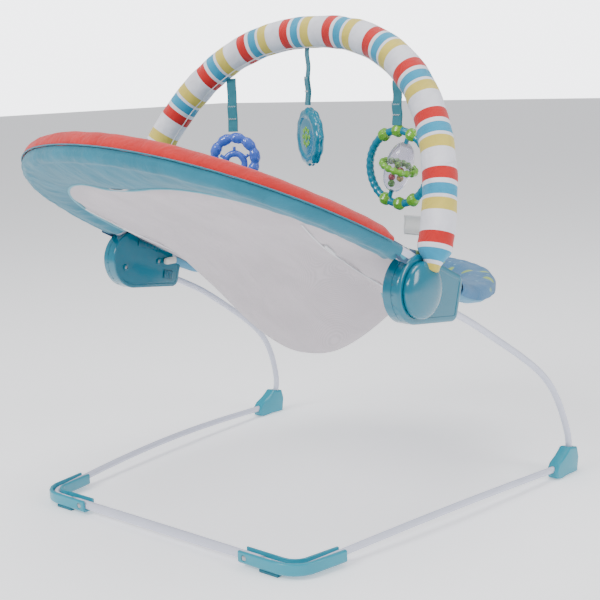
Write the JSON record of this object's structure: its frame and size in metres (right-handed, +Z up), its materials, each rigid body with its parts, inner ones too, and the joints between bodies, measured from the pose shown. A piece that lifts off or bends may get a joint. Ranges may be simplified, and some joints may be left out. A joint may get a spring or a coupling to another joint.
{
  "type": "bouncer seat",
  "caption": "Infant bouncer: bent-wire floor base, spring risers, oval tube seat with hanging padded sling, round side hubs and a padded toy bar with hanging toys.",
  "frame": {"origin": "on the floor, under the middle of the whole object", "axes": "+X the seated baby's left, +Y towards the head end, +Z up"},
  "size_m": [0.501, 0.6018, 0.5553],
  "materials": {
    "wire_paint": "glossy grey-white powder coat",
    "hub_plastic": "glossy moulded teal",
    "foot_plastic": "semi-gloss moulded teal",
    "pad_rubber": "matte dark teal",
    "screw_steel": "plain steel",
    "cover_teal": "woven, matte",
    "pad_print": "printed, matte",
    "rim_red": "woven, matte",
    "sling_mesh": "open mesh, matte",
    "strap_teal": "webbing, matte",
    "bar_fabric": "striped, matte",
    "tag_white": "plain ribbon",
    "hook_white": "satin",
    "buckle_grey": "satin",
    "teether_blue": "translucent, glossy",
    "rattle_teal": "glossy",
    "bead_green": "glossy",
    "clear_shell": "clear, faintly lavender"
  },
  "bodies": {
    "base": {"rear_cross_tube": "wire_paint", "floor_wire_left": "wire_paint", "floor_wire_right": "wire_paint", "rear_foot_left": "foot_plastic", "rear_foot_right": "foot_plastic", "rear_foot_screw_left": "screw_steel", "rear_foot_screw_right": "screw_steel", "rear_grip_pad_left": "pad_rubber", "rear_grip_pad_right": "pad_rubber", "front_foot_left": "foot_plastic", "front_foot_right": "foot_plastic"},
    "seat": {"leg_wire_left": "wire_paint", "leg_wire_right": "wire_paint", "hub_inner_left": "hub_plastic", "hub_inner_right": "hub_plastic", "hub_outer_left": "hub_plastic", "hub_outer_right": "hub_plastic", "hub_clamp_left": "hub_plastic", "hub_clamp_right": "hub_plastic", "bar_pivot_pin_left": "screw_steel", "bar_pivot_pin_right": "screw_steel", "waist_strap_left": "strap_teal", "waist_strap_right": "strap_teal", "cover_hook_left": "hook_white", "cover_hook_right": "hook_white", "underside_border_left": "cover_teal", "underside_border_right": "cover_teal", "hub_screw_left_1": "screw_steel", "hub_screw_left_2": "screw_steel", "hub_screw_right_1": "screw_steel", "hub_screw_right_2": "screw_steel", "seat_back_tube": "wire_paint", "leg_rest_tube": "wire_paint", "back_cover_sleeve": "cover_teal", "leg_cover_sleeve": "cover_teal", "sling_mesh": "sling_mesh", "back_pad": "pad_print", "seat_pad": "pad_print", "leg_pad": "pad_print", "red_rim_roll": "rim_red", "harness_buckle": "buckle_grey", "crotch_strap": "pad_print"},
    "toy_bar": {"bar_arm_left": "hub_plastic", "bar_arm_right": "hub_plastic", "bar_dome_left": "hub_plastic", "bar_dome_right": "hub_plastic", "toy_bar_rod": "wire_paint", "toy_bar_sleeve": "bar_fabric", "toy_bar_tag": "tag_white"},
    "teether_toy": {"teether_strap": "strap_teal", "teether_ring": "teether_blue"},
    "rattle_toy": {"rattle_strap": "strap_teal", "rattle_disc": "rattle_teal"},
    "spinner_toy": {"spinner_strap": "strap_teal", "spinner_loop": "rattle_teal"},
    "spinner": {"spinner_shell": "clear_shell", "spinner_ring": "bead_green"}
  },
  "joints": [
    {"name": "seat_bounce", "type": "hinge", "parent": "base", "child": "seat", "pos_m": [0, -0.23977, 0.02287], "axis": [1, 0, 0], "range_deg": [-5, 4], "stiffness_Nm_per_rad": 260, "springref_deg": 1.15},
    {"name": "bar_swing", "type": "hinge", "parent": "seat", "child": "toy_bar", "pos_m": [0, 0.0415, 0.268], "axis": [1, 0, 0], "range_deg": [-28, 30]},
    {"name": "teether_swing", "type": "hinge", "parent": "toy_bar", "child": "teether_toy", "pos_m": [0.12332, -0.05599, 0.48423], "axis": [1, 0, 0], "range_deg": [-30, 30]},
    {"name": "rattle_swing", "type": "hinge", "parent": "toy_bar", "child": "rattle_toy", "pos_m": [0.00704, -0.06712, 0.51748], "axis": [1, 0, 0], "range_deg": [-30, 30]},
    {"name": "spinner_swing", "type": "hinge", "parent": "toy_bar", "child": "spinner_toy", "pos_m": [-0.13366, -0.05351, 0.47695], "axis": [1, 0, 0], "range_deg": [-30, 30]},
    {"name": "spinner_spin", "type": "hinge", "parent": "spinner_toy", "child": "spinner", "pos_m": [-0.13366, -0.05351, 0.38355], "axis": [-0.3746, 0, 0.9272], "continuous": true}
  ]
}
